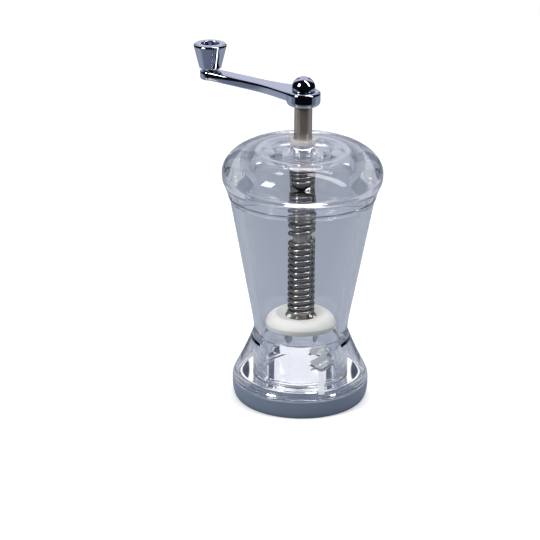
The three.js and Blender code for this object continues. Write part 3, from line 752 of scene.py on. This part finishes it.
half_plan = [(0, hub_edge)] + curve((0, hub_edge), (hub_radius * 1.1, hub_edge),
                                    (ARM_FLARE * 0.55, ARM_HALF), (ARM_FLARE, ARM_HALF), steps=16)
end_sweep = math.pi - math.asin(ARM_HALF / END_RADIUS)
for i in range(ARC_STEPS + 1):
    angle = end_sweep * (1 - i / ARC_STEPS)
    half_plan.append((arm_reach + END_RADIUS * math.cos(angle), END_RADIUS * math.sin(angle)))
other_half = [(x, -y) for x, y in half_plan[-2::-1]]
arm = bmesh.new()
arm.faces.new([arm.verts.new(((axis_x - x) * MM, y * MM, arm_base * MM))
               for x, y in half_plan + other_half])
walls = bmesh.ops.extrude_face_region(arm, geom=arm.faces[:])
lifted = [v for v in walls["geom"] if isinstance(v, bmesh.types.BMVert)]
bmesh.ops.translate(arm, verts=lifted, vec=(0, 0, ARM_THICKNESS * MM))
bmesh.ops.recalc_face_normals(arm, faces=arm.faces[:])
rims = [e for e in arm.edges if abs(e.verts[0].co.z - e.verts[1].co.z) < ARM_BEVEL * MM]
bmesh.ops.bevel(arm, geom=rims, offset=ARM_BEVEL * MM, segments=5, profile=0.5, affect="EDGES",
                material=-1, clamp_overlap=True)
arm_mesh = bpy.data.meshes.new("arm")
arm.to_mesh(arm_mesh)
arm.free()
hub.from_mesh(arm_mesh)
crank = to_object("crank", hub)
settle(crank, chrome, "chrome_plate", "crank", "crank_arm")

# %% [markdown]
# ## Cap nut, knob and pin
# The cap nut is a plain dome. The knob is a tapered grip whose top has a recess, in which the
# pin's head shows.

# %% Cap nut
cap_radius, cap_low, cap_high = reach("cap_nut")
CAP_BRIM = 0.2
CAP_ARC_STEPS = 24
cap_straight = max(cap_high - cap_low - cap_radius, CAP_BRIM)
cap_outline = [(0, cap_low), (cap_radius, cap_low, 0.1)]
for i in range(CAP_ARC_STEPS + 1):
    angle = i / CAP_ARC_STEPS * math.pi / 2
    rise = (cap_high - cap_low - cap_straight) * math.sin(angle)
    cap_outline.append((cap_radius * math.cos(angle) if i < CAP_ARC_STEPS else 0,
                        cap_low + cap_straight + rise))
cap = to_object("cap", turned_mesh(cap_outline, steps=96))
settle(cap, chrome, "chrome_plate", "crank", "cap_nut")

# %% Knob and pin
knob_radius, knob_low, knob_high = reach("grip_knob")
KNOB_NECK = 5.0
KNOB_ROUND = 1.2
KNOB_RECESS = 4.1
KNOB_DEPTH = 3.8
recess_floor = knob_high - KNOB_DEPTH
knob = to_object("knob", turned_mesh(
    [(pin_hole, knob_low, 0.2), (KNOB_NECK, knob_low, 0.4), (knob_radius, knob_high - KNOB_ROUND),
     (knob_radius, knob_high, KNOB_ROUND * 0.98), (KNOB_RECESS, knob_high, 0.4),
     (KNOB_RECESS, recess_floor, 0.3), (pin_hole, recess_floor, 0.1)], centre_x=knob_x, steps=96))
settle(knob, chrome, "chrome_plate", "knob", "grip_knob")

_, pin_low, pin_high = reach("knob_pin")
PIN_HEAD = 3.3
PIN_FOOT = 3.0
foot_seat = arm_base - FIT
head_seat = recess_floor + FIT
pin = to_object("pin", turned_mesh(
    [(0, pin_low), (PIN_FOOT, pin_low, 0.5), (PIN_FOOT, foot_seat, 0.1), (PIN_RADIUS, foot_seat),
     (PIN_RADIUS, head_seat), (PIN_HEAD, head_seat, 0.1), (PIN_HEAD, pin_high, 0.8),
     (0, pin_high)], centre_x=knob_x, steps=64))
settle(pin, chrome, "chrome_plate", "crank", "knob_pin")

# %% [markdown]
# ## Steel pieces kept from the model
# The blade, its rivets, the claws and the screw have their true shape in the model already, so they
# only take their metals.

# %% Kept pieces
kept_finishes = {
    "grating_blade": blade_steel,
    "blade_rivet_1": blade_steel,
    "blade_rivet_2": blade_steel,
    "claw_plate": stamped_steel,
    "claw_screw": stamped_steel,
}
for node, finish in kept_finishes.items():
    kept = frame["nodes"][node]
    kept.data.materials.clear()
    kept.data.materials.append(finish)
    print(node, "is kept and takes", finish.name)

# %% [markdown]
# ## The floor
# The mill stood on a grey-blue sheet, and the picture was then cut out on white. So the floor is
# white to the lens, apart from the mill's soft shadow, and what mirrors it or looks through the
# acrylic meets the sheet's colour: pale behind the mill, darker in front, which is painted shade, and
# black past the sheet's near edge, which is the dark of the room painted onto the floor. A cream
# card lies in front on the left, and the shaft mirrors it as a light band. All these are colours
# laid over one another inside soft edges, and an edge is a value with the place where it starts
# and the place where it's done. Places are told apart as the camera sees them, with x to the right
# and y away from it.

# %% Helpers for places and directions


def as_seen(tree, output):
    """A coordinate output turned so that x runs to the camera's right and y away from it."""
    source = add_node(tree, "TexCoord").outputs[output]
    turned = add_node(tree, "Mapping", {"vector_type": "POINT"}, Vector=source,
                      Rotation=(0, 0, -CAMERA_ROUND))
    return turned.outputs["Vector"]


def laid_over(tree, under, over, *edges):
    """One colour laid over another where each edge, given as (value, start, end), is passed."""
    cover = 1.0
    for value, start, end in edges:
        passed = add_node(tree, "MapRange", {"interpolation_type": "SMOOTHSTEP"}, Value=value,
                          From_Min=start, From_Max=end).outputs["Result"]
        cover = add_node(tree, "Math", {"operation": "MULTIPLY"}, _0=cover, _1=passed).outputs["Value"]
    return add_node(tree, "Mix", {"data_type": "RGBA"}, _0=cover, _6=under, _7=over).outputs[2]


# %% Floor
FLOOR_RADIUS = 0.75
SHADE_PAINTED_IN_FRONT = (0.04, -0.10)
DARK_PAINTED_PAST_SHEET = (-0.25, -0.27)
CARD_PLACE = (-0.24, -0.21, 0)
CARD_EDGE = (0.09, 0.05)
WHITE_GLOW = 0.25
floor_mesh = bmesh.new()
bmesh.ops.create_circle(floor_mesh, cap_ends=True, segments=96, radius=FLOOR_RADIUS)
floor = to_object("floor", floor_mesh)
floor_material, floor_tree, floor_output = new_material("pale_sheet")
floor_place = as_seen(floor_tree, "Object")
floor_y = add_node(floor_tree, "SeparateXYZ", Vector=floor_place).outputs["Y"]
from_card = add_node(floor_tree, "VectorMath", {"operation": "DISTANCE"}, _0=floor_place,
                     _1=CARD_PLACE).outputs["Value"]
# Painted shade: the sheet is darkened towards the lens and painted black past its near edge.
sheet_and_painted_shade = laid_over(floor_tree, linear("#9DA3AF"), linear("#666F80"), (floor_y, *SHADE_PAINTED_IN_FRONT))
sheet_and_painted_shade = laid_over(floor_tree, sheet_and_painted_shade, linear("#0A0B0E"), (floor_y, *DARK_PAINTED_PAST_SHEET))
sheet_and_painted_shade = laid_over(floor_tree, sheet_and_painted_shade, linear("#F4EEE4"), (from_card, *CARD_EDGE))
sheet = add_node(floor_tree, "BsdfDiffuse", Color=sheet_and_painted_shade)
paper = add_node(floor_tree, "BsdfDiffuse", Color=linear("#F4F5F7"))
glow = add_node(floor_tree, "Emission", Color=linear("#FFFFFF"), Strength=WHITE_GLOW)
white = add_node(floor_tree, "AddShader", _0=paper.outputs["BSDF"], _1=glow.outputs["Emission"])
floor_path = add_node(floor_tree, "LightPath")
floor_mix = add_node(floor_tree, "MixShader", _0=floor_path.outputs["Is Camera Ray"],
                     _1=sheet.outputs["BSDF"], _2=white.outputs["Shader"])
floor_tree.links.new(floor_mix.outputs["Shader"], floor_output.inputs["Surface"])
floor.data.materials.append(floor_material)

# %% [markdown]
# ## The room
# The room is drawn by direction, and what a path met on its way decides which of its pictures it
# ends in. Bare chrome mirrors a lavender backdrop that fills a round patch behind the mill and up to
# the zenith, with navy panels low in front of it and darkness all round, and this hard edge draws
# the dark lines on the crank. A path that only passes through the acrylic meets a plain pale wall.
# One that was mirrored on the way as well meets a haze if it crossed few surfaces, and otherwise a
# bright window with two narrow navy bars. That window is what the blade disc shows through the
# foot. Where the path crossed still more surfaces, the bars stand wider apart, and without that
# the window has a pale ceiling above it.

# %% Directions
world = bpy.data.worlds.new("studio")
bpy.context.scene.world = world
world.use_nodes = True
sky = world.node_tree
sky.nodes.clear()
BACKDROP = (0, 0.78, 0.62)
facing = as_seen(sky, "Generated")
along = add_node(sky, "SeparateXYZ", Vector=facing).outputs
sideways = add_node(sky, "Math", {"operation": "ABSOLUTE"}, _0=along["X"]).outputs["Value"]
ahead = along["Y"]
height = along["Z"]
toward_backdrop = add_node(sky, "VectorMath", {"operation": "DOT_PRODUCT"}, _0=facing,
                           _1=BACKDROP).outputs["Value"]


def upright_bar(start, end, soft):
    """The edges of an upright bar between two sideways places, on both sides of the mill."""
    return (sideways, start - soft, start + soft), (sideways, end + soft, end - soft)


# %% Pictures of the room
lavender_rise = (height, -0.05, 0.30)
panel = (*upright_bar(0.30, 0.48, soft=0.02), (height, 0.66, 0.58))
off_backdrop = (toward_backdrop, 0.72, 0.66)
room = laid_over(sky, linear("#C4CAD6"), linear("#DDE0F0"), lavender_rise)
room = laid_over(sky, room, linear("#1C2440"), *panel)
room = laid_over(sky, room, linear("#0E1015"), off_backdrop)

opening = ((sideways, 0.42, 0.34), (ahead, 0.30, 0.45), (height, 0.10, 0.22))
below_ceiling = (height, 0.66, 0.60)
above_opening = (height, 0.74, 0.90)


def window(around, navy, start, end):
    """A white opening with a navy bar on either side of its middle, and a colour round it."""
    panes = laid_over(sky, linear("#FFFFFF"), linear(navy), *upright_bar(start, end, soft=0.006),
                      below_ceiling)
    return laid_over(sky, linear(around), panes, *opening)


near_window = window("#5A616D", "#1B2238", 0.135, 0.215)
near_window = laid_over(sky, near_window, linear("#D4D7DE"), above_opening)
deep_window = window("#7B8290", "#20283F", 0.200, 0.330)
haze = laid_over(sky, linear("#8F97A5"), linear("#C6CAD3"), *opening)

# %% Which path ends in which picture
path = add_node(sky, "LightPath").outputs
MORE_THAN = {
    "was_mirrored": ("Glossy Depth", 0.5),
    "went_inside": ("Transmission Depth", 0.5),
    "went_deep": ("Transmission Depth", 3.5),
    "went_deepest": ("Transmission Depth", 5.5),
}
known = {name: add_node(sky, "Math", {"operation": "GREATER_THAN"}, _0=path[count],
                        _1=limit).outputs["Value"] for name, (count, limit) in MORE_THAN.items()}
windows = add_node(sky, "Mix", {"data_type": "RGBA"}, _0=known["went_deepest"], _6=near_window,
                   _7=deep_window).outputs[2]
PICTURES = {
    "lens": (linear("#FFFFFF"), 1.0),
    "lighting": (linear("#FFFFFF"), 0.45),
    "bare": (room, 1.0),
    "wall": (linear("#B9C0CE"), 1.0),
    "haze": (haze, 1.0),
    "windows": (windows, 1.9),
}
shown = {name: add_node(sky, "Background", Color=colour, Strength=strength).outputs["Background"]
         for name, (colour, strength) in PICTURES.items()}
both_ways = add_node(sky, "Math", {"operation": "MULTIPLY"}, _0=known["was_mirrored"],
                     _1=known["went_inside"])
looks = add_node(sky, "Math", {"operation": "MAXIMUM"}, _0=path["Is Glossy Ray"],
                 _1=path["Is Transmission Ray"])
wall_or_bare = add_node(sky, "MixShader", _0=known["was_mirrored"], _1=shown["wall"],
                        _2=shown["bare"])
haze_or_window = add_node(sky, "MixShader", _0=known["went_deep"], _1=shown["haze"],
                          _2=shown["windows"])
picture = add_node(sky, "MixShader", _0=both_ways.outputs["Value"],
                   _1=wall_or_bare.outputs["Shader"], _2=haze_or_window.outputs["Shader"])
off_lens = add_node(sky, "MixShader", _0=looks.outputs["Value"], _1=shown["lighting"],
                    _2=picture.outputs["Shader"])
surroundings = add_node(sky, "MixShader", _0=path["Is Camera Ray"], _1=off_lens.outputs["Shader"],
                        _2=shown["lens"])
add_node(sky, "OutputWorld", Surface=surroundings.outputs["Shader"])
print("room of", len(PICTURES), "pictures with", len(sky.nodes), "nodes")

# %% [markdown]
# ## The lamps
# A softbox on the left, a tall strip on the right and a softbox overhead light the mill. The one
# overhead is left out of mirrors, where it would fill the flat top of the crank. Light crosses many
# walls on its way through lid, tumbler and foot, so the number of bounces is high.

# %% Lamps
AIM_HEIGHT = 0.08


def softbox(name, place, width, height, watts):
    """A rectangular lamp that faces the middle of the mill."""
    data = bpy.data.lights.new(name, "AREA")
    data.shape = "RECTANGLE"
    data.size = width
    data.size_y = height
    data.energy = watts
    lamp = bpy.data.objects.new(name, data)
    bpy.context.collection.objects.link(lamp)
    lamp.location = seen_from_camera(*place)
    aim = seen_from_camera(0, 0, AIM_HEIGHT) - lamp.location
    lamp.rotation_euler = aim.to_track_quat("-Z", "Y").to_euler()
    return lamp


softbox("left_softbox", (-0.78, -0.55, 0.75), width=0.30, height=0.45, watts=7)
softbox("right_strip", (0.50, -0.25, 0.85), width=0.16, height=1.1, watts=4)
overhead = softbox("overhead_softbox", (0.0, 0.25, 1.3), width=0.6, height=0.4, watts=5)
overhead.visible_glossy = False

cycles = bpy.context.scene.cycles
cycles.max_bounces = 24
cycles.transmission_bounces = 20
cycles.glossy_bounces = 10
cycles.transparent_max_bounces = 32
